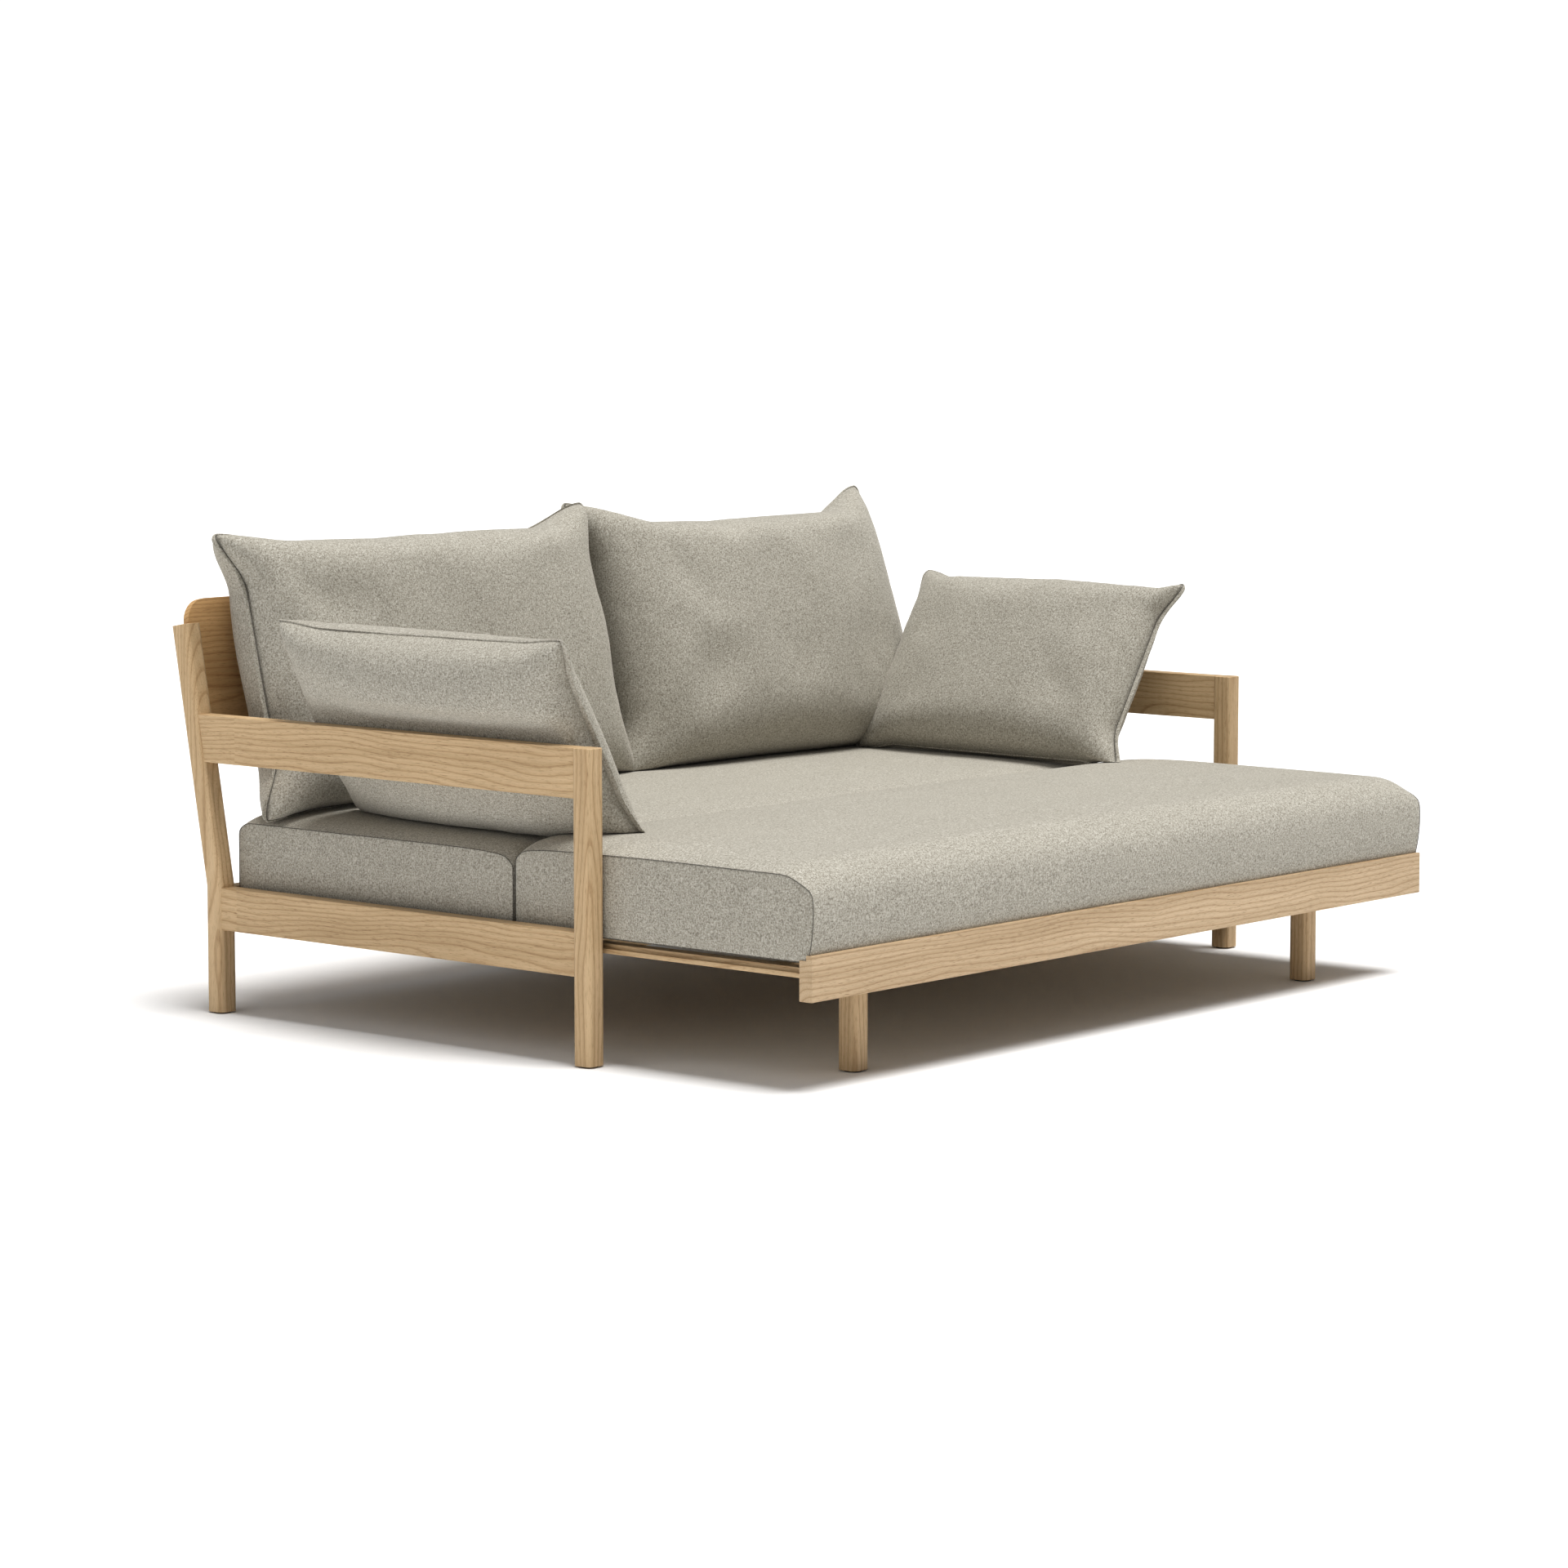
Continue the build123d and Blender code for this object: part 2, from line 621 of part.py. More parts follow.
with BuildPart() as rear_mattress:
    add(mattress(rear_mattress_y, rear_mattress_side, rear_mattress_crown, rear_chamfer))
finish(rear_mattress, "rear_mattress")

# ---- loose cushions -----------------------------------------------------------------


def lens_bar(centre, across, run, width, thickness, length):
    """A bar whose section is a lens with blunt tips: one profile of a cushion, extruded."""
    with BuildPart() as body:
        with BuildSketch(Plane(origin=centre, x_dir=across, z_dir=run)):
            with BuildLine():
                for face in (1, -1):
                    ends = [(end * width / 2, face * cushion_edge) for end in (-1, 1)]
                    ThreePointArc(ends[0], (0, face * thickness / 2), ends[1])
                for end in (-1, 1):
                    tip = end * width / 2
                    Line((tip, -cushion_edge), (tip, cushion_edge))
            make_face()
        extrude(amount=length / 2, both=True)
    return body.part


def pillow(centre, along, up, length, height, thickness):
    """A knife-edge cushion: thick in the middle and thin at the seam all round."""
    with BuildPart() as body:
        add(lens_bar(centre, up, along, height, thickness, length))
        add(lens_bar(centre, along, -Vector(*up), length, thickness, height), mode=Mode.INTERSECT)
    return body.part


board_front = board_thickness - half_post
cushion_offset = board_front + back_cushion_clearance + back_cushion_thickness / 2
cushion_base = lean_plane(cushion_offset).origin
cushion_rise = (back_cushion_foot - cushion_base.Z) / lean_cos + back_cushion_height / 2
back_spans = (
    ("left", (-mattress_half_length, back_cushion_split - back_cushion_clearance)),
    ("right", (back_cushion_split + back_cushion_clearance, mattress_half_length)),
)
for name, (left_end, right_end) in back_spans:
    middle = (left_end + right_end) / 2
    centre = cushion_base + Vector(middle, cushion_rise * lean_sin, cushion_rise * lean_cos)
    size = (right_end - left_end, back_cushion_height, back_cushion_thickness)
    with BuildPart() as back_cushion:
        add(pillow(centre, along_x, (0, lean_sin, lean_cos), *size))
    finish(back_cushion, f"back_cushion_{name}")

tilt_sin = sin(radians(arm_cushion_tilt))
tilt_cos = cos(radians(arm_cushion_tilt))
for name, side in sides:
    foot_x, foot_z = arm_cushion_foot
    half_height = arm_cushion_height / 2
    centre = Vector(
        side * (foot_x + half_height * tilt_sin),
        front + arm_cushion_center_y,
        foot_z + half_height * tilt_cos,
    )
    size = (arm_cushion_length, arm_cushion_height, arm_cushion_thickness)
    with BuildPart() as arm_cushion:
        add(pillow(centre, along_y, (side * tilt_sin, 0, tilt_cos), *size))
    finish(arm_cushion, f"arm_cushion_{name}")
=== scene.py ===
"""A wooden daybed with its front pulled out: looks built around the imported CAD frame."""

import json
import math

import bmesh
import bpy
import numpy as np
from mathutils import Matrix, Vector, noise
from mathutils.bvhtree import BVHTree


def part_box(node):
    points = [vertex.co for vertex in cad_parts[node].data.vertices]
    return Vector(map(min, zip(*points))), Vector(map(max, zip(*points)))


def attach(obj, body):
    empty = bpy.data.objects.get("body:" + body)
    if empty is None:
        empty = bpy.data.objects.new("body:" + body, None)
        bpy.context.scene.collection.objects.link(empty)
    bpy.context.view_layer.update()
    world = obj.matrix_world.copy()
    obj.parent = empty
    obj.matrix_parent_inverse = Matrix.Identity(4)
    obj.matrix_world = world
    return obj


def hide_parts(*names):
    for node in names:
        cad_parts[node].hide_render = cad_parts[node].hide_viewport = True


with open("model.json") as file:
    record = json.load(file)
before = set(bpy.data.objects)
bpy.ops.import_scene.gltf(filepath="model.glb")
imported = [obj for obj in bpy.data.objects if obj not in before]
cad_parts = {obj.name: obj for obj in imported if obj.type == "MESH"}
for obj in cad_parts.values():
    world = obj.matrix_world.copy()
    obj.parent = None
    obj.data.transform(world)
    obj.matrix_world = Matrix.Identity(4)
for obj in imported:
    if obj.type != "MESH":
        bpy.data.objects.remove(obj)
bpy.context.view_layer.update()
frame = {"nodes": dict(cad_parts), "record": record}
nodes = frame["nodes"]
scene = bpy.context.scene

# ---- places taken from the frame ------------------------------------------------------
front_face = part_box("front_post_left")[0].y  # front faces of the front posts
front_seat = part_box("front_mattress")
rear_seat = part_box("rear_mattress")
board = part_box("backboard")
slot_of = {part["node"]: part["material_slot"] for part in frame["record"]["subparts"]}

# ---- sizes set here, in metres and radians --------------------------------------------
lean = math.radians(10.1)  # of the backboard
most_travel = 0.024  # how far the cloth may move while it settles
end_room = 0.003  # a mattress cover's end seams stand in from its filling's ends by this much
end_bulge, end_wave = 0.006, 0.0015  # its end panels still pass between the posts
valley_depth, valley_reach = 0.013, 0.045  # where the two mattresses meet
unevenness = 0.0022  # of a mattress cover's top and front
seam_gather = 0.0042  # the small puckers along a cushion's seam
undulation = 0.0012  # the broad soft waves of a cushion's panels


# ---- small helpers --------------------------------------------------------------------
def mesh_object(name, points, faces, material, smooth=True):
    mesh = bpy.data.meshes.new(name)
    mesh.from_pydata([tuple(p) for p in points], [], faces)
    mesh.validate()
    mesh.materials.append(material)
    if smooth:
        mesh.shade_smooth()
    made = bpy.data.objects.new(name, mesh)
    scene.collection.objects.link(made)
    return made


def positions(obj):
    flat = np.empty(len(obj.data.vertices) * 3, np.float32)
    obj.data.vertices.foreach_get("co", flat)
    return flat.reshape(-1, 3).astype(float)


def set_positions(obj, points):
    obj.data.vertices.foreach_set("co", np.asarray(points, np.float32).ravel())
    obj.data.update()


def smooth_step(value, low, high):
    t = np.clip((value - low) / (high - low), 0, 1)
    return t * t * (3 - 2 * t)


# ---- materials ------------------------------------------------------------------------
def new_material(name):
    material = bpy.data.materials.new(name)
    material.use_nodes = True
    tree = material.node_tree
    return material, tree, tree.nodes["Principled BSDF"]


def add_node(tree, kind, **settings):
    node = tree.nodes.new(kind)
    for key, value in settings.items():
        setattr(node, key, value)
    return node


def object_coordinates(tree, location=(0, 0, 0), rotation=(0, 0, 0), scale=(1, 1, 1)):
    """Object coordinates, moved, turned and stretched."""
    source = tree.nodes.new("ShaderNodeTexCoord")
    mapping = tree.nodes.new("ShaderNodeMapping")
    mapping.inputs["Location"].default_value = location
    mapping.inputs["Rotation"].default_value = rotation
    mapping.inputs["Scale"].default_value = scale
    tree.links.new(source.outputs["Object"], mapping.inputs["Vector"])
    return mapping.outputs["Vector"]


def noise_of(tree, vector, scale, detail=2.0, roughness=0.5):
    node = tree.nodes.new("ShaderNodeTexNoise")
    node.inputs["Scale"].default_value = scale
    node.inputs["Detail"].default_value = detail
    node.inputs["Roughness"].default_value = roughness
    tree.links.new(vector, node.inputs["Vector"])
    return node


def ramp_of(tree, factor, stops, interpolation="LINEAR"):
    """A colour ramp. stops are (position, colour) pairs."""
    node = tree.nodes.new("ShaderNodeValToRGB")
    node.color_ramp.interpolation = interpolation
    elements = node.color_ramp.elements
    while len(elements) < len(stops):
        elements.new(0.5)
    for element, (position, colour) in zip(elements, stops):
        element.position = position
        element.color = (*colour, 1)
    tree.links.new(factor, node.inputs["Fac"])
    return node.outputs["Color"]


def grey(value):
    return (value, value, value)


def times(tree, a, b):
    """The product of two colours."""
    node = add_node(tree, "ShaderNodeMix", data_type="RGBA", blend_type="MULTIPLY")
    node.inputs["Factor"].default_value = 1.0
    tree.links.new(a, node.inputs["A"])
    tree.links.new(b, node.inputs["B"])
    return node.outputs["Result"]


def math_of(tree, operation, a, b):
    node = add_node(tree, "ShaderNodeMath", operation=operation)
    for socket, value in zip(node.inputs, (a, b)):
        if isinstance(value, (int, float)):
            socket.default_value = value
        else:
            tree.links.new(value, socket)
    return node.outputs["Value"]


def along_grain(axis, along, across):
    """A scale that is small along the grain, so that a pattern stretches that way."""
    return tuple(along if name == axis else across for name in "XYZ")


wood_light = (0.636, 0.482, 0.300)
wood_mid = (0.578, 0.420, 0.250)
wood_dark = (0.430, 0.285, 0.152)


def wood(name, axis, pith, turn=(0, 0, 0), ring=0.0062, tone=(1, 1, 1), contrast=0.72):
    """Ash: growth rings round a pith that lies off the piece, fine fibres and open pores."""
    material, tree, shader = new_material(name)
    place = object_coordinates(tree, location=[-c for c in pith], rotation=turn)
    stretched = object_coordinates(tree, scale=along_grain(axis, 2.0, 6.0))
    drift = noise_of(tree, stretched, 1.0, 2.0, 0.45)
    reach = along_grain(axis, 0.0, 0.075)
    warp = add_node(tree, "ShaderNodeVectorMath", operation="MULTIPLY_ADD")
    warp.inputs[1].default_value = reach
    tree.links.new(drift.outputs["Color"], warp.inputs[0])
    tree.links.new(place, warp.inputs[2])
    rings = add_node(
        tree,
        "ShaderNodeTexWave",
        wave_type="RINGS",
        rings_direction=axis,
        wave_profile="SAW",
    )
    rings.inputs["Scale"].default_value = math.tau / 20 / ring
    rings.inputs["Distortion"].default_value = 0.35
    rings.inputs["Detail"].default_value = 2.0
    rings.inputs["Detail Scale"].default_value = 0.6
    tree.links.new(warp.outputs["Vector"], rings.inputs["Vector"])

    # tone is each piece's own random tone, times the painted light and shade tint of the backboard
    # and the pull-out's front rail.
    def between(colour, share):
        return tuple(
            t * (m + contrast * share * (c - m)) for t, m, c in zip(tone, wood_mid, colour)
        )

    year = ramp_of(
        tree,
        rings.outputs["Fac"],
        [
            (0.0, between(wood_dark, 0.55)),
            (0.10, between(wood_dark, 1.0)),
            (0.24, between(wood_mid, 1.0)),
            (0.62, between(wood_light, 1.0)),
            (1.0, between(wood_light, 0.35)),
        ],
    )
    wide = noise_of(
        tree, object_coordinates(tree, scale=along_grain(axis, 1.1, 22)), 1.0, 2.0
    )
    bands = ramp_of(
        tree,
        wide.outputs["Fac"],
        [(0.30, (0.88, 0.86, 0.83)), (0.70, (1.06, 1.075, 1.10))],
    )
    fibres = noise_of(
        tree, object_coordinates(tree, scale=along_grain(axis, 7, 330)), 1.0, 3.0, 0.6
    )
    streaks = ramp_of(
        tree, fibres.outputs["Fac"], [(0.30, (0.91, 0.90, 0.875)), (0.68, grey(1.045))]
    )
    dots = noise_of(
        tree, object_coordinates(tree, scale=along_grain(axis, 55, 1500)), 1.0, 1.0
    )
    pores = ramp_of(
        tree, dots.outputs["Fac"], [(0.30, (0.66, 0.60, 0.54)), (0.40, grey(1.0))]
    )
    colour = times(tree, times(tree, year, bands), times(tree, streaks, pores))
    tree.links.new(colour, shader.inputs["Base Color"])
    gloss = ramp_of(tree, fibres.outputs["Fac"], [(0.3, grey(0.55)), (0.7, grey(0.42))])
    tree.links.new(gloss, shader.inputs["Roughness"])
    bump = tree.nodes.new("ShaderNodeBump")
    bump.inputs["Strength"].default_value = 0.35
    bump.inputs["Distance"].default_value = 0.0004
    relief = math_of(tree, "ADD", fibres.outputs["Fac"], pores)
    tree.links.new(relief, bump.inputs["Height"])
    tree.links.new(bump.outputs["Normal"], shader.inputs["Normal"])
    shader.inputs["Specular IOR Level"].default_value = 0.32
    shader.inputs["Coat Weight"].default_value = 0.04
    shader.inputs["Coat Roughness"].default_value = 0.35
    return material


def woven_cloth(name, tone=1.0):
    """Mottled plain weave: threads run along all three axes, so each face shows two sets."""
    material, tree, shader = new_material(name)
    threads = None
    for axis in "XYZ":
        place = object_coordinates(tree, scale=along_grain(axis, 95, 520))
        strand = noise_of(tree, place, 1.0, 2.0, 0.6).outputs["Fac"]
        threads = strand if threads is None else math_of(tree, "ADD", threads, strand)
    threads = math_of(tree, "DIVIDE", threads, 3.0)
    flecks = noise_of(tree, object_coordinates(tree), 300.0, 2.0, 0.7).outputs["Fac"]
    mixed = math_of(tree, "MULTIPLY", math_of(tree, "ADD", threads, flecks), 0.5)
    dark, middle, pale = (
        tuple(tone * c for c in colour)
        for colour in ((0.188, 0.170, 0.136), (0.408, 0.383, 0.328), (0.606, 0.588, 0.530))
    )
    colour = ramp_of(tree, mixed, [(0.36, dark), (0.50, middle), (0.63, pale)])
    cloud = noise_of(tree, object_coordinates(tree), 9.0, 3.0, 0.55).outputs["Fac"]
    shade = ramp_of(tree, cloud, [(0.3, grey(0.98)), (0.7, grey(1.015))])
    tree.links.new(times(tree, colour, shade), shader.inputs["Base Color"])
    bump = tree.nodes.new("ShaderNodeBump")
    bump.inputs["Strength"].default_value = 0.6
    bump.inputs["Distance"].default_value = 0.0012
    tree.links.new(mixed, bump.inputs["Height"])
    tree.links.new(bump.outputs["Normal"], shader.inputs["Normal"])
    shader.inputs["Roughness"].default_value = 0.92
    shader.inputs["Specular IOR Level"].default_value = 0.18
    shader.inputs["Sheen Weight"].default_value = 0.25
    shader.inputs["Sheen Roughness"].default_value = 0.5
    shader.inputs["Sheen Tint"].default_value = (0.95, 0.92, 0.86, 1)
    return material


def moulded_plastic(name):
    material, tree, shader = new_material(name)
    grain = noise_of(tree, object_coordinates(tree), 900.0, 2.0)
    colour = ramp_of(
        tree, grain.outputs["Fac"], [(0.3, grey(0.018)), (0.7, grey(0.034))]
    )
    tree.links.new(colour, shader.inputs["Base Color"])
    shader.inputs["Roughness"].default_value = 0.6
    return material


def zinc_steel(name):
    material, tree, shader = new_material(name)
    grain = noise_of(tree, object_coordinates(tree), 700.0, 2.0)
    colour = ramp_of(
        tree,
        grain.outputs["Fac"],
        [(0.3, (0.50, 0.51, 0.53)), (0.7, (0.68, 0.69, 0.71))],
    )
    tree.links.new(colour, shader.inputs["Base Color"])
    shader.inputs["Metallic"].default_value = 1.0
    shader.inputs["Roughness"].default_value = 0.34
    return material


grain_axes = {
    "Z": ("post", "leg_left", "leg_right"),
    "X": ("rear_rail", "front_rail", "leg_rail", "slat_rail", "cleat", "backboard"),
}


def grain_axis(name):
    """The axis that a piece of wood's grain runs along: its longest straight run."""
    for axis, words in grain_axes.items():
        if any(name.endswith(word) or word in name for word in words):
            if not (axis == "Z" and "rail" in name):
                return axis
    return "Y"


# Painted light and shade: the backboard, seen only in shade, is tinted darker and warmer; the
# pull-out's front rail, a lit face, is tinted paler and cooler.
painted_light_and_shade_tints = {"backboard": (1.02, 0.90, 0.74), "pull_out_front_rail": (0.95, 0.975, 1.05)}


def dress_wood():
    """Each piece of wood is cut from its own place in the trunk."""
    rng = np.random.default_rng(7)
    for name, node in sorted(nodes.items()):
        slot = slot_of[name]
        if slot not in ("ash_wood", "slat_wood", "beech_dowel"):
            continue
        low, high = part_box(name)
        axis = "X" if slot == "beech_dowel" else grain_axis(name)
        if slot == "slat_wood":
            axis = "Y"
        middle = (low + high) / 2
        away = rng.uniform(0.055, 0.10)
        angle = rng.uniform(0, math.tau)
        pith = list(middle)
        across = [i for i in range(3) if "XYZ"[i] != axis]
        pith[across[0]] += away * math.cos(angle)
        pith[across[1]] += away * math.sin(angle)
        shade = {"slat_wood": 0.97, "beech_dowel": 1.05}.get(slot, 1.0) * rng.uniform(0.97, 1.03)
        # Painted light and shade: the backboard's tint darkens and warms it, and the pull-out's
        # front rail's tint makes it paler and cooler.
        painted_tint = painted_light_and_shade_tints.get(name, (1.0, 1.0, 1.0))
        tone = [shade * c for c in painted_tint]
        turn = [0.0, 0.0, 0.0]
        turn[across[0]] = rng.uniform(-0.02, 0.02)
        turn[across[1]] = rng.uniform(-0.02, 0.02)
        material = wood(f"wood_{name}", axis, pith, turn, rng.uniform(0.0085, 0.0115), tone)
        node.data.materials.clear()
        node.data.materials.append(material)


def dress_fittings():
    plastic = moulded_plastic("moulded_plastic")
    steel = zinc_steel("zinc_steel")
    for name, node in nodes.items():
        chosen = {"glide_plastic": plastic, "zinc_steel": steel}.get(slot_of[name])
        if chosen:
            node.data.materials.clear()
            node.data.materials.append(chosen)


cloth = woven_cloth("greige_weave")
# Painted shade: the weave darkened to a third, for thin dark tubes laid along seams where their
# creases are in shade.
seam_shade = woven_cloth("painted_seam_shade", 0.34)


# ---- mattresses -----------------------------------------------------------------------
def resample(points, spacing):
    """A closed line with its points evenly spaced."""
    points = np.asarray(points, float)
    closed = np.vstack([points, points[:1]])
    steps = np.linalg.norm(np.diff(closed, axis=0), axis=1)
    distance = np.concatenate([[0], np.cumsum(steps)])
    count = int(round(distance[-1] / spacing))
    wanted = np.linspace(0, distance[-1], count, endpoint=False)
    return np.column_stack([np.interp(wanted, distance, closed[:, k]) for k in (0, 1)])


def rounded_corner(corner, radius, start_angle):
    """Points of a quarter round whose outer corner would be at corner, going clockwise."""
    centre = (
        corner[0] - radius * math.copysign(1, math.cos(start_angle - math.pi / 4)),
        corner[1] - radius * math.copysign(1, math.sin(start_angle - math.pi / 4)),
    )
    angles = np.linspace(start_angle, start_angle - math.pi / 2, 13)
    return [
        (centre[0] + radius * math.cos(a), centre[1] + radius * math.sin(a)) for a in angles
    ]


def profile(y, z, front_radius, back_radius, foot_radius, belly):
    """The section of a mattress, clockwise from low on its front face."""
    top = z[1]
    line = rounded_corner((y[0], top), front_radius, math.pi)
    run = np.linspace(y[0] + front_radius, y[1] - back_radius, 40)[1:-1]
    line += [(v, top) for v in run]
    line += rounded_corner((y[1], top), back_radius, math.pi / 2)
    line += rounded_corner((y[1], z[0]), foot_radius, 0)
    line += rounded_corner((y[0], z[0]), foot_radius, -math.pi / 2)
    line = resample(line, 0.012)
    share = np.clip((line[:, 1] - z[0]) / (top - z[0]), 0, 1)
    out = belly * np.sin(math.pi * share) ** 0.8
    middle = (y[0] + y[1]) / 2
    reach = (y[1] - y[0]) / 2
    side = np.clip((line[:, 0] - middle) / reach, -1, 1)
    front_share = smooth_step(-side, 0.90, 0.985)
    line[:, 0] -= out * front_share
    return line


def shade_tube(grid, line, side=np.array([1.0, 0.0, 0.0]), radius=0.0009):
    """A thin dark tube that follows a closed line: painted shade standing in for the shade in a
    seam's crease.
    """
    ahead = np.roll(line, -1, axis=0) - np.roll(line, 1, axis=0)
    ahead /= np.linalg.norm(ahead, axis=1)[:, None]
    out = np.cross(ahead, side)
    out /= np.linalg.norm(out, axis=1)[:, None]
    first, count, corners = len(grid), len(line), 6
    angles = np.arange(corners) * math.tau / corners
    tube = [
        line[i] + radius * (math.cos(a) * out[i] + math.sin(a) * side)
        for i in range(count)
        for a in angles
    ]
    faces = []
    for i in range(count):
        k = (i + 1) % count
        for s in range(corners):
            n = (s + 1) % corners
            quad = (i * corners + s, i * corners + n, k * corners + n, k * corners + s)
            faces.append(tuple(first + q for q in quad))
    return np.vstack([grid, tube]), faces


def mattress(name, node, half_length, line, crown, seam_drop, top, junction):
    """A boxed mattress: one cloth wraps over the top, and an end panel closes each end."""
    count = len(line)
    z_low = line[:, 1].min()
    stations = np.concatenate(
        [
            [-half_length, -half_length + 0.004, -half_length + 0.010],
            np.linspace(-half_length + 0.022, half_length - 0.022, 150),
            [half_length - 0.010, half_length - 0.004, half_length],
        ]
    )
    lift = smooth_step(line[:, 1], z_low + 0.6 * (top - z_low), top)
    middle = (line[:, 0].min() + line[:, 0].max()) / 2
    reach = (line[:, 0].max() - line[:, 0].min()) / 2
    across = np.clip(1 - np.abs((line[:, 0] - middle) / reach) ** 2.6, 0, 1)
    points = []
    for x in stations:
        inward = 1 - abs(x) / half_length
        rise = (1 - math.exp(-inward / 0.035)) * seam_drop
        dome = crown * (1 - (abs(x) / half_length) ** 2.4) * across
        uneven = np.array([noise.noise(Vector((x * 3, p[0] * 3, p[1] * 4))) for p in line])
        dip = valley_depth * np.exp(-np.abs(line[:, 0] - junction) / valley_reach)
        z = line[:, 1] + lift * (rise - seam_drop + dome - dip + unevenness * uneven)
        y = line[:, 0] + unevenness * uneven * np.clip((line[:, 0] - middle) / reach, -1, 1) ** 3
        points.append(np.column_stack([np.full(count, x), y, z]))
    faces = []
    for i in range(len(stations) - 1):
        for j in range(count):
            k = (j + 1) % count
            faces.append((i * count + j, (i + 1) * count + j, (i + 1) * count + k, i * count + k))
    grid = np.vstack(points)
    for end, first in ((-1, 0), (1, len(stations) - 1)):
        ring = np.arange(first * count, (first + 1) * count)
        seam = grid[ring]
        z_mid = (seam[:, 2].min() + seam[:, 2].max()) / 2
        half = (seam[:, 2].max() - seam[:, 2].min()) / 2
        heart = np.column_stack(
            [
                seam[:, 0],
                np.clip(seam[:, 1], seam[:, 1].min() + half, seam[:, 1].max() - half),
                np.full(count, z_mid),
            ]
        )
        previous = ring
        for t in (0.05, 0.13, 0.25, 0.40, 0.55, 0.70, 0.85, 0.97):
            bulge = end_bulge * (1 - (1 - t) ** 2.6)
            inner = seam + (heart - seam) * t
            wave = [noise.noise(Vector((end, p[1] * 5, p[2] * 9))) for p in inner]
            inner[:, 0] += end * (bulge + end_wave * min(1, 4 * t) * np.array(wave))
            start = len(grid)
            grid = np.vstack([grid, inner])
            current = np.arange(start, start + count)
            for j in range(count):
                k = (j + 1) % count
                quad = (previous[j], current[j], current[k], previous[k])
                faces.append(quad if end > 0 else quad[::-1])
            previous = current
        strip = [int(v) for v in previous]
        for j in range(1, count // 2):
            a, b = strip[j], strip[j + 1]
            c, d = strip[-j - 1], strip[-j]
            quad = (d, c, b, a) if end > 0 else (a, b, c, d)
            if len(set(quad)) == 4:
                faces.append(quad)
    # Painted shade: a thin dark tube along each end seam.
    first = len(faces)
    for station in (0, len(stations) - 1):
        ring = grid[station * count : (station + 1) * count]
        grid, more = shade_tube(grid, ring)
        faces += more
    made = mesh_object(name, grid, [tuple(int(v) for v in f) for f in faces], cloth)
    made.data.materials.append(seam_shade)
    for polygon in made.data.polygons[first:]:
        polygon.material_index = 1
    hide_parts(node)
    return made


# ---- loose cushions -------------------------------------------------------------------
def panel_grid(width, height, spacing):
    """Two rectangular panels joined all round: rest positions, faces and the seam's loop."""
    columns = int(round(width / spacing))
    rows = int(round(height / spacing))
    u = np.linspace(-width / 2, width / 2, columns + 1)
    v = np.linspace(-height / 2, height / 2, rows + 1)
    index = {}
    flat = []
    side = []
    for face in (0, 1):
        for i in range(columns + 1):
            for j in range(rows + 1):
                edge = i in (0, columns) or j in (0, rows)
                if face == 1 and edge:
                    index[1, i, j] = index[0, i, j]
                    continue
                index[face, i, j] = len(flat)
                flat.append((u[i], v[j]))
                side.append(0 if edge else (1 if face else -1))
    faces = []
    for face in (0, 1):
        for i in range(columns):
            for j in range(rows):
                quad = [index[face, i, j], index[face, i + 1, j]]
                quad += [index[face, i + 1, j + 1], index[face, i, j + 1]]
                faces.append(tuple(quad if face == 0 else quad[::-1]))
    loop = [index[0, i, 0] for i in range(columns)]
    loop += [index[0, columns, j] for j in range(rows)]
    loop += [index[0, i, rows] for i in range(columns, 0, -1)]
    loop += [index[0, 0, j] for j in range(rows, 0, -1)]
    return np.array(flat), np.array(side), faces, loop


def settle(obj, frames=16, spare=0.02):
    """Lets the cover, cut a little larger than its filling, find its own soft folds."""
    start = positions(obj)
    modifier = obj.modifiers.new("fill", "CLOTH")
    settings = modifier.settings
    settings.quality = 5
    settings.mass = 0.006
    settings.air_damping = 4.0
    settings.tension_stiffness = 40
    settings.compression_stiffness = 40
    settings.shear_stiffness = 20
    settings.bending_stiffness = 0.35
    settings.use_pressure = True
    settings.uniform_pressure_force = 0.0
    settings.use_pressure_volume = True
    settings.target_volume = volume_of(obj) * 1.03
    settings.pressure_factor = 4.0
    settings.shrink_min = -spare
    settings.effector_weights.gravity = 0
    modifier.collision_settings.use_collision = False
    modifier.point_cache.frame_start = 1
    modifier.point_cache.frame_end = frames
    for number in range(1, frames + 1):
        scene.frame_set(number)
    filled = obj.evaluated_get(bpy.context.evaluated_depsgraph_get())
    points = np.array([v.co for v in filled.data.vertices])
    obj.modifiers.clear()
    scene.frame_set(1)
    travel = points - start
    length = np.linalg.norm(travel, axis=1)
    travel *= np.minimum(1, most_travel / np.maximum(length, 1e-9))[:, None]
    set_positions(obj, start + evened(obj, travel))


def evened(obj, travel, rounds=12):
    """Spreads the cloth's travel over its neighbours, which leaves folds but no sharp creases."""
    edges = np.array([tuple(e.vertices) for e in obj.data.edges])
    shares = np.bincount(edges.ravel(), minlength=len(travel))[:, None]
    for _ in range(rounds):
        total = np.zeros_like(travel)
        np.add.at(total, edges[:, 0], travel[edges[:, 1]])
        np.add.at(total, edges[:, 1], travel[edges[:, 0]])
        travel = 0.5 * travel + 0.5 * total / shares
    return travel


def volume_of(obj):
    shape = bmesh.new()
    shape.from_mesh(obj.data)
    volume = abs(shape.calc_volume())
    shape.free()
    return volume


def pulled_in(position, ears, limp=0.0):
    """How far an edge is drawn in along its run, 0 at its corners: ears are the two ends' reach.

    limp is the share by which the ear at the low end is drawn in too."""
    low, high = ears
    first = 1 - (1 - limp) * smooth_step(-position, 1 - low, 1.0)
    return first * (1 - smooth_step(position, 1 - high, 1.0))


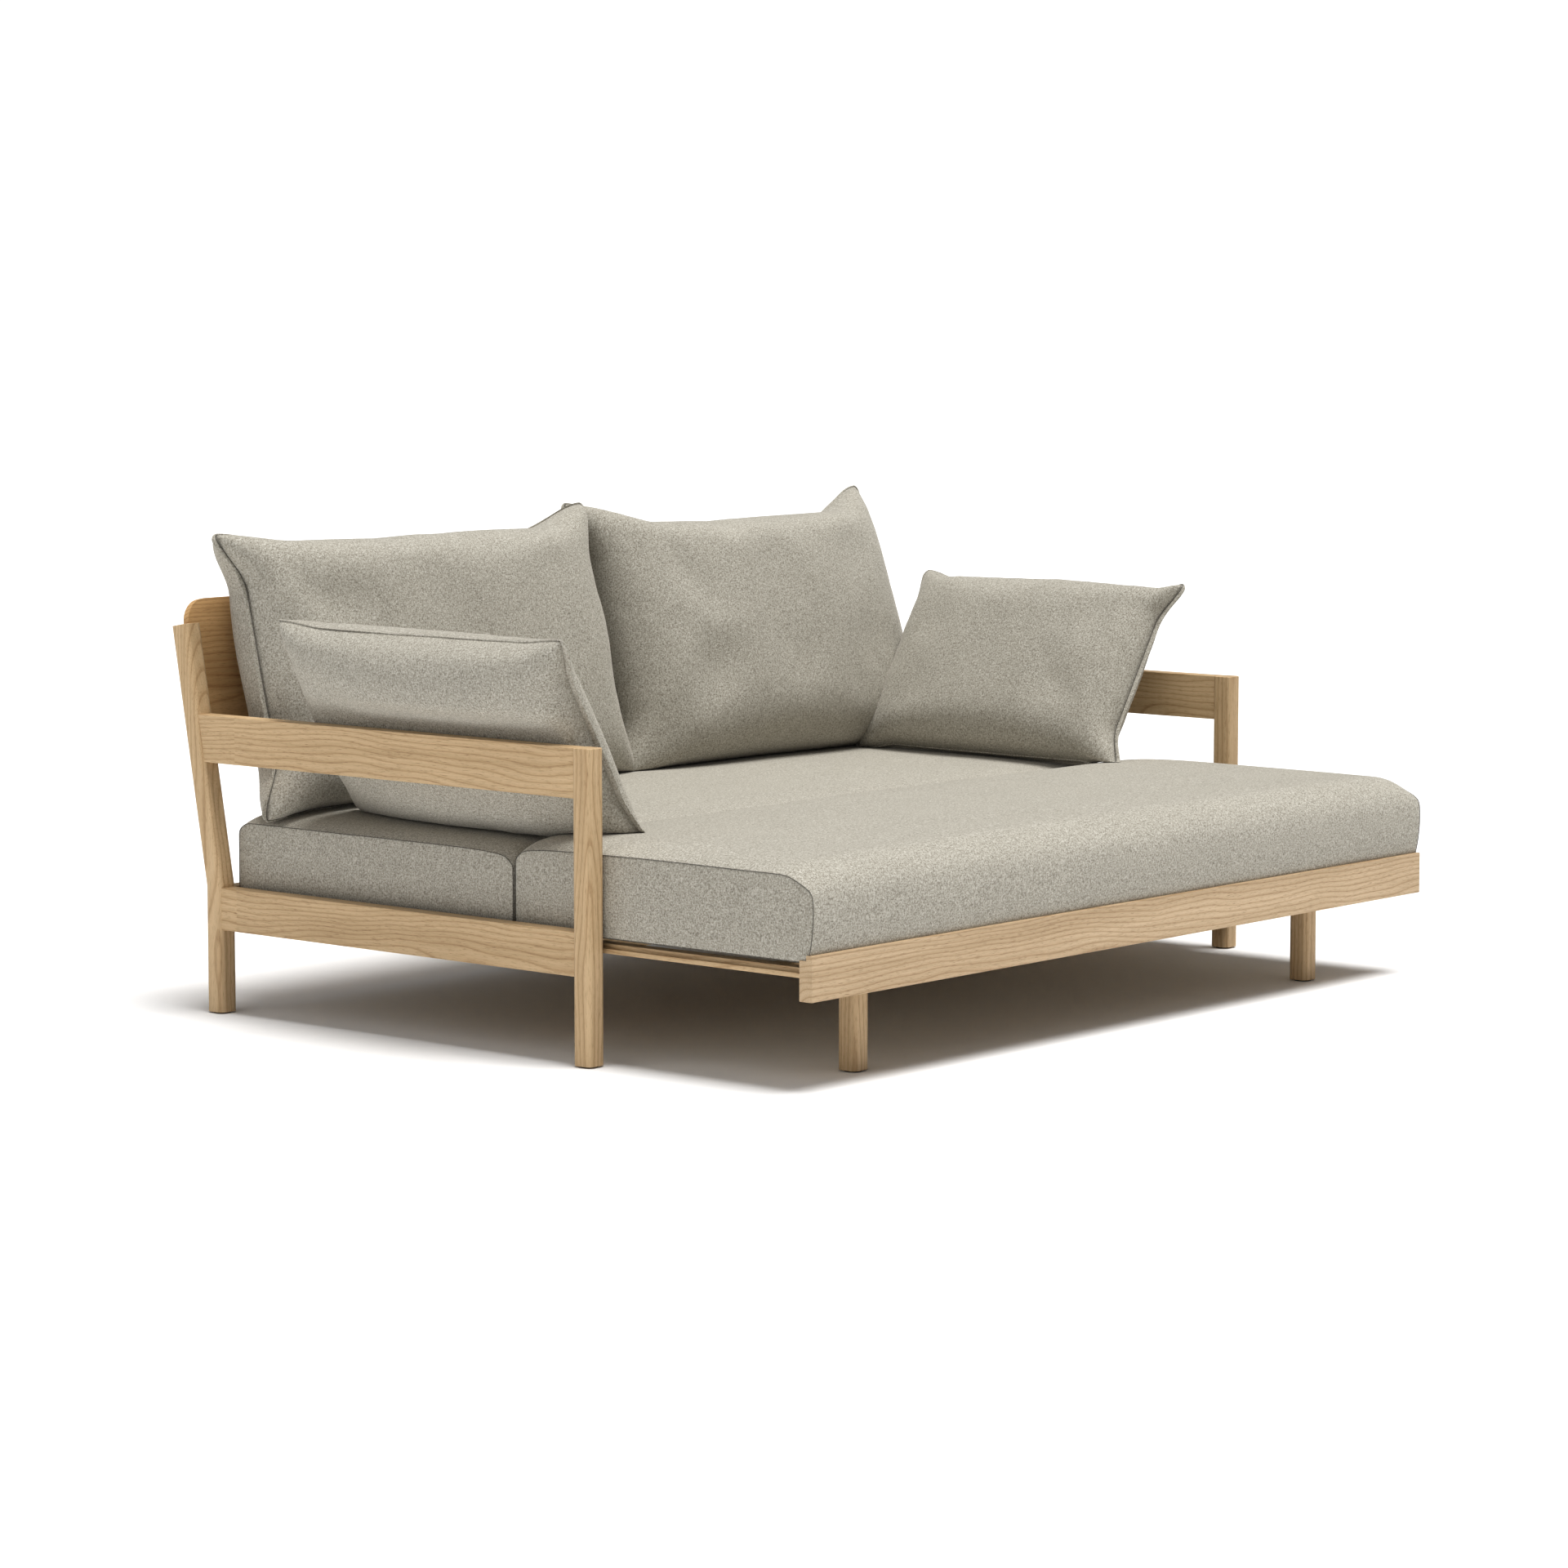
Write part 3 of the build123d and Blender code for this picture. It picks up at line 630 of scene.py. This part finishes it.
def cushion_shape(name, cut, spacing, seed):
    """The filled cushion in its own frame: X along, Z up, Y through it."""
    width, height = cut["size"]
    flat, side, faces, loop = panel_grid(width, height, spacing)
    u, v = 2 * flat[:, 0] / width, 2 * flat[:, 1] / height
    left, right, bottom, top = cut["drawn_in"]
    drawn_x = np.where(u < 0, left, right) * pulled_in(v, (0.46, 0.46))
    along_top = pulled_in(u, cut["ears"], cut.get("limp", 0.0))
    drawn_z = np.where(v < 0, bottom * pulled_in(u, (0.3, 0.3)), top * along_top)
    x = u * (width / 2 - drawn_x * np.abs(u) ** 2.5)
    z = v * (height / 2 - drawn_z * np.abs(v) ** 2.5)
    sharp = cut["fullness"]
    swell = ((1 - np.abs(u) ** sharp[0]) * (1 - np.abs(v) ** sharp[1])) ** sharp[2]
    deep = swell * np.where(side < 0, cut["depth"][0], cut["depth"][1])
    points = np.column_stack([x, side * deep, z])
    swing = cut.get("swing", (0.0, 0.0))
    points[:, 1] += swing[0] * smooth_step(-u, 0.70, 1.0) + swing[1] * smooth_step(u, 0.70, 1.0)
    rng = np.random.default_rng(seed)
    for _ in range(7):
        direction = rng.normal(size=3) * (10, 3, 13)
        phase = rng.uniform(0, math.tau)
        points[:, 1] += undulation * np.sin(points @ direction + phase) * (side != 0)
    from_side, from_end = width / 2 * (1 - np.abs(u)), height / 2 * (1 - np.abs(v))
    from_seam = np.minimum(from_side, from_end)
    run = np.where(from_side < from_end, z, x)
    gather = np.array([noise.noise(Vector((24 * r, seed, 2 * s))) for r, s in zip(run, side)])
    fade = np.exp(-from_seam / 0.034) * (1 - np.exp(-from_seam / 0.008))
    points[:, 1] += side * seam_gather * gather * fade
    made = mesh_object(name, points, faces, cloth)
    settle(made)
    return made, loop


flange_section = (
    (-0.004, -0.0022),
    (0.002, -0.0027),
    (0.007, -0.0025),
    (0.0105, -0.0013),
    (0.0105, 0.0013),
    (0.007, 0.0025),
    (0.002, 0.0027),
    (-0.004, 0.0022),
)


def add_flange(obj, loop, seed, inner):
    """The sewn lip that stands out all round a cushion's seam, with a thin dark tube of painted
    shade in the groove beside it.
    """
    points = positions(obj)
    line = points[loop]
    count = len(line)
    ahead = np.roll(line, -1, axis=0) - np.roll(line, 1, axis=0)
    ahead /= np.linalg.norm(ahead, axis=1)[:, None]
    through = np.array([0.0, 1.0, 0.0])
    out = np.cross(ahead, through)
    out /= np.linalg.norm(out, axis=1)[:, None]
    if np.mean(np.sum(out * line, axis=1)) < 0:
        out = -out
    section = len(flange_section)
    made = []
    groove = []
    for i in range(count):
        stand = smooth_step(abs(out[i][0]), 0.7, 0.98)
        wave = noise.noise(Vector(line[i]) * 14 + Vector((seed, 0, 0)))
        tilt = 0.5 * noise.noise(Vector(line[i]) * 6 + Vector((0, seed, 0)))
        for reach, depth in flange_section:
            far = stand * reach * (1 + 0.18 * wave) if reach > 0 else reach
            shift = depth * (0.3 + 0.7 * stand) + max(reach, 0) * tilt
            made.append(line[i] + out[i] * far + through * shift)
        # The painted shade tube sinks out of sight where the lip does not stand out, along the top
        # and bottom edges.
        sunk = 0.0005 - 0.0045 * (1 - stand)
        groove.append(line[i] + sunk * out[i] + inner * (0.0002 + 0.0026 * stand) * through)
    faces = []
    first = len(points)
    for i in range(count):
        k = (i + 1) % count
        for s in range(section):
            n = (s + 1) % section
            faces.append(
                (
                    first + i * section + s,
                    first + i * section + n,
                    first + k * section + n,
                    first + k * section + s,
                )
            )
    old = [tuple(p.vertices) for p in obj.data.polygons]
    body = old + faces
    grid = np.vstack([points, made])
    # Painted shade: a thin dark tube laid in the groove beside the lip.
    grid, shade_faces = shade_tube(grid, np.array(groove), through, 0.0014)
    mesh = bpy.data.meshes.new(obj.name)
    mesh.from_pydata([tuple(p) for p in grid], [], body + shade_faces)
    mesh.materials.append(cloth)
    mesh.materials.append(seam_shade)
    for polygon in mesh.polygons[len(body) :]:
        polygon.material_index = 1
    mesh.shade_smooth()
    obj.data = mesh


def place(points, centre, along, up):
    """Moves a cushion's own axes to where it sits: along it, up it and through it."""
    along, up = Vector(along).normalized(), Vector(up)
    up = (up - along * up.dot(along)).normalized()
    through = up.cross(along)
    turn = np.array([along, through, up])
    return points @ turn + np.array(centre)


def rest_on_mattresses(points, covers):
    """Flattens the underside of a cushion where it lies on the mattresses."""
    graph = bpy.context.evaluated_depsgraph_get()
    trees = [BVHTree.FromObject(cover, graph) for cover in covers]
    for point in points:
        if point[2] > 0.47:
            continue
        start = Vector((point[0], point[1], 0.7))
        tops = [tree.ray_cast(start, Vector((0, 0, -1)))[0] for tree in trees]
        tops = [hit.z for hit in tops if hit]
        if tops:
            point[2] = max(point[2], max(tops) + 0.001)
    return points


def lean_on_board(points):
    """Flattens a back cushion where it presses against the board."""
    low = board[0]
    slope = math.tan(lean)
    board_y = low.y + (points[:, 2] - low.z) * slope
    points[:, 1] = np.minimum(points[:, 1], board_y - 0.002)
    return points


# ---- build ----------------------------------------------------------------------------
def smoothed(obj):
    modifier = obj.modifiers.new("smooth", "SUBSURF")
    modifier.levels = modifier.render_levels = 1
    return obj


def seat_mattresses():
    y0, y1 = front_seat[0].y, front_seat[1].y
    line = profile(
        (y0 - 0.002, y1),
        (front_seat[0].z + 0.001, front_seat[1].z - 0.003),
        0.062,
        0.024,
        0.006,
        0.014,
    )
    front = mattress(
        "front_mattress_cover",
        "front_mattress",
        front_seat[1].x - end_room,
        line,
        0.010,
        0.024,
        front_seat[1].z - 0.003,
        y1,
    )
    smoothed(front)
    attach(front, "front_mattress")
    y0, y1 = rear_seat[0].y, rear_seat[1].y
    rear_top = rear_seat[1].z - 0.008
    line = profile((y0, y1), (rear_seat[0].z + 0.001, rear_top), 0.026, 0.03, 0.012, 0.0)
    rear = mattress(
        "rear_mattress_cover",
        "rear_mattress",
        rear_seat[1].x - end_room,
        line,
        0.008,
        0.020,
        rear_top,
        y0,
    )
    smoothed(rear)
    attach(rear, "frame")
    return front, rear


# The cut and place of each loose cushion, in its own frame (X along it, Z up it, Y through it).
# size is width and height; drawn_in is how far the -X, +X, bottom and top edges bow in; ears is
# the reach of the -X and +X top corners; depth is the swell towards -Y and +Y; centre has its Y
# from the front posts' front faces. These are fitted values that were then adjusted. They
# are not worked out from the frame, so they don't follow a change of the CAD.
back_cuts = {
    "left": {
        "size": (1.065, 0.600),
        "drawn_in": (0.053, 0.036, 0.014, 0.039),
        "ears": (0.34, 0.36),
        "limp": 0.45,
        "depth": (0.113, 0.140),
        "fullness": (3.4, 2.7, 0.38),
        "swing": (0.0, -0.012),
        "centre": (-0.479, 0.978, 0.6845),
        "lean": 0.244,
        "yaw": 0.010,
        "roll": 0.001,
    },
    "right": {
        "size": (0.985, 0.614),
        "drawn_in": (0.036, 0.004, 0.014, 0.053),
        "ears": (0.41, 0.36),
        "depth": (0.135, 0.105),
        "fullness": (3.4, 2.5, 0.45),
        "swing": (0.020, 0.0),
        "centre": (0.528, 0.980, 0.686),
        "lean": 0.280,
        "yaw": 0.016,
    },
}
arm_cuts = {
    "left": {
        "size": (0.769, 0.444),
        "drawn_in": (0.022, 0.016, 0.006, 0.011),
        "ears": (0.30, 0.31),
        "depth": (0.079, 0.100),
        "fullness": (3.2, 2.65, 0.41),
        "centre": (-0.943, 0.442, 0.605),
        "lean": 0.512,
        "yaw": 0.027,
    },
    "right": {
        "size": (0.731, 0.460),
        "drawn_in": (0.036, 0.016, 0.018, 0.017),
        "ears": (0.14, 0.30),
        "depth": (0.070, 0.088),
        "fullness": (2.5, 3.2, 0.44),
        "centre": (0.908, 0.506, 0.599),
        "lean": 0.548,
        "yaw": 0.030,
    },
}


def clear_of_arm(points, side):
    """Holds an arm cushion inside the inner face of its arm rail, up to just over the rail's top."""
    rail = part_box("arm_rail_left" if side < 0 else "arm_rail_right")
    face = min(abs(rail[0].x), abs(rail[1].x)) - 0.003
    over = np.maximum(side * points[:, 0] - face, 0)
    held = 1 - smooth_step(points[:, 2], rail[1].z + 0.004, rail[1].z + 0.060)
    points[:, 0] -= side * over * held
    return points


def make_cushion(node, cut, along, up, spacing, seed, covers):
    made, loop = cushion_shape(f"{node}_cover", cut, spacing, seed)
    add_flange(made, loop, seed, 1 if node == "arm_cushion_right" else -1)
    centre = np.array(cut["centre"]) + (0, front_face, 0)
    points = place(positions(made), centre, along, up)
    if node.startswith("back"):
        points = lean_on_board(points)
    else:
        points = clear_of_arm(points, math.copysign(1, cut["centre"][0]))
    set_positions(made, rest_on_mattresses(points, covers))
    smoothed(made)
    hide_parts(node)
    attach(made, node)


def place_back_cushions(covers):
    for name, seed in (("left", 3), ("right", 11)):
        cut = back_cuts[name]
        along = (math.cos(cut["yaw"]), math.sin(cut["yaw"]), cut.get("roll", 0.0))
        up = (0, math.sin(cut["lean"]), math.cos(cut["lean"]))
        make_cushion(f"back_cushion_{name}", cut, along, up, 0.0110, seed, covers)


def place_arm_cushions(covers):
    for name, side, seed in (("left", -1, 5), ("right", 1, 8)):
        cut = arm_cuts[name]
        along = (math.sin(cut["yaw"]), math.cos(cut["yaw"]), 0)
        up = (side * math.sin(cut["lean"]), 0, math.cos(cut["lean"]))
        make_cushion(f"arm_cushion_{name}", cut, along, up, 0.0095, seed, covers)


# ---- floor, light and camera ----------------------------------------------------------
def lay_floor():
    material, tree, shader = new_material("pale_floor")
    grain = noise_of(tree, object_coordinates(tree), 40.0, 2.0)
    colour = ramp_of(tree, grain.outputs["Fac"], [(0.3, grey(0.92)), (0.7, grey(0.93))])
    tree.links.new(colour, shader.inputs["Base Color"])
    shader.inputs["Roughness"].default_value = 0.9
    shader.inputs["Specular IOR Level"].default_value = 0.0
    reach = 60.0
    corners = [(-reach, -reach, 0), (reach, -reach, 0), (reach, reach, 0), (-reach, reach, 0)]
    floor = mesh_object("floor", corners, [(0, 1, 2, 3)], material, smooth=False)


def light_studio():
    """A very large overhead softbox, a little to the front, and a weak fill from the left.

    The backdrop is plain white to the camera, and lights the object only weakly."""
    world = bpy.data.worlds.new("studio")
    scene.world = world
    world.use_nodes = True
    tree = world.node_tree
    seen = tree.nodes["Background"]
    seen.inputs["Color"].default_value = (1, 1, 1, 1)
    seen.inputs["Strength"].default_value = 1.0
    around = tree.nodes.new("ShaderNodeBackground")
    around.inputs["Color"].default_value = (1, 1, 1, 1)
    around.inputs["Strength"].default_value = 0.28
    path = tree.nodes.new("ShaderNodeLightPath")
    mix = tree.nodes.new("ShaderNodeMixShader")
    tree.links.new(path.outputs["Is Camera Ray"], mix.inputs["Fac"])
    tree.links.new(around.outputs["Background"], mix.inputs[1])
    tree.links.new(seen.outputs["Background"], mix.inputs[2])
    tree.links.new(mix.outputs["Shader"], tree.nodes["World Output"].inputs["Surface"])
    lamps = (
        ("softbox", (0.08, -0.20, 1.0), 32, 3.35),
        ("left_fill", (-1.0, 0.0, 0.7), 60, 0.42),
    )
    for name, where, spread, strength in lamps:
        lamp = bpy.data.lights.new(name, "SUN")
        lamp.angle = math.radians(spread)
        lamp.energy = strength
        holder = bpy.data.objects.new(name, lamp)
        holder.rotation_mode = "QUATERNION"
        holder.rotation_quaternion = Vector(where).to_track_quat("Z", "Y")
        scene.collection.objects.link(holder)
    scene.view_settings.view_transform = "Standard"
    scene.view_settings.look = "None"
    scene.view_settings.exposure = 0.14
    scene.view_settings.gamma = 0.85


def set_camera():
    """A fitted view: front left of the daybed, a little above its seat."""
    lens, distance = 107.125, 9.600
    bearing, height = math.radians(-49.507), math.radians(6.218)
    data = bpy.data.cameras.new("camera")
    data.sensor_width = 36
    data.lens = lens
    data.clip_end = 200
    camera = bpy.data.objects.new("camera", data)
    back = Vector(
        (
            math.sin(bearing) * math.cos(height),
            -math.cos(bearing) * math.cos(height),
            math.sin(height),
        )
    )
    aim = Vector((-0.0910, front_face + 0.3424, 0.4322))
    camera.location = aim + back * distance
    camera.rotation_mode = "QUATERNION"
    camera.rotation_quaternion = (-back).to_track_quat("-Z", "Y")
    scene.collection.objects.link(camera)
    scene.camera = camera


dress_wood()
dress_fittings()
covers = seat_mattresses()
place_back_cushions(covers)
place_arm_cushions(covers)
lay_floor()
light_studio()
set_camera()
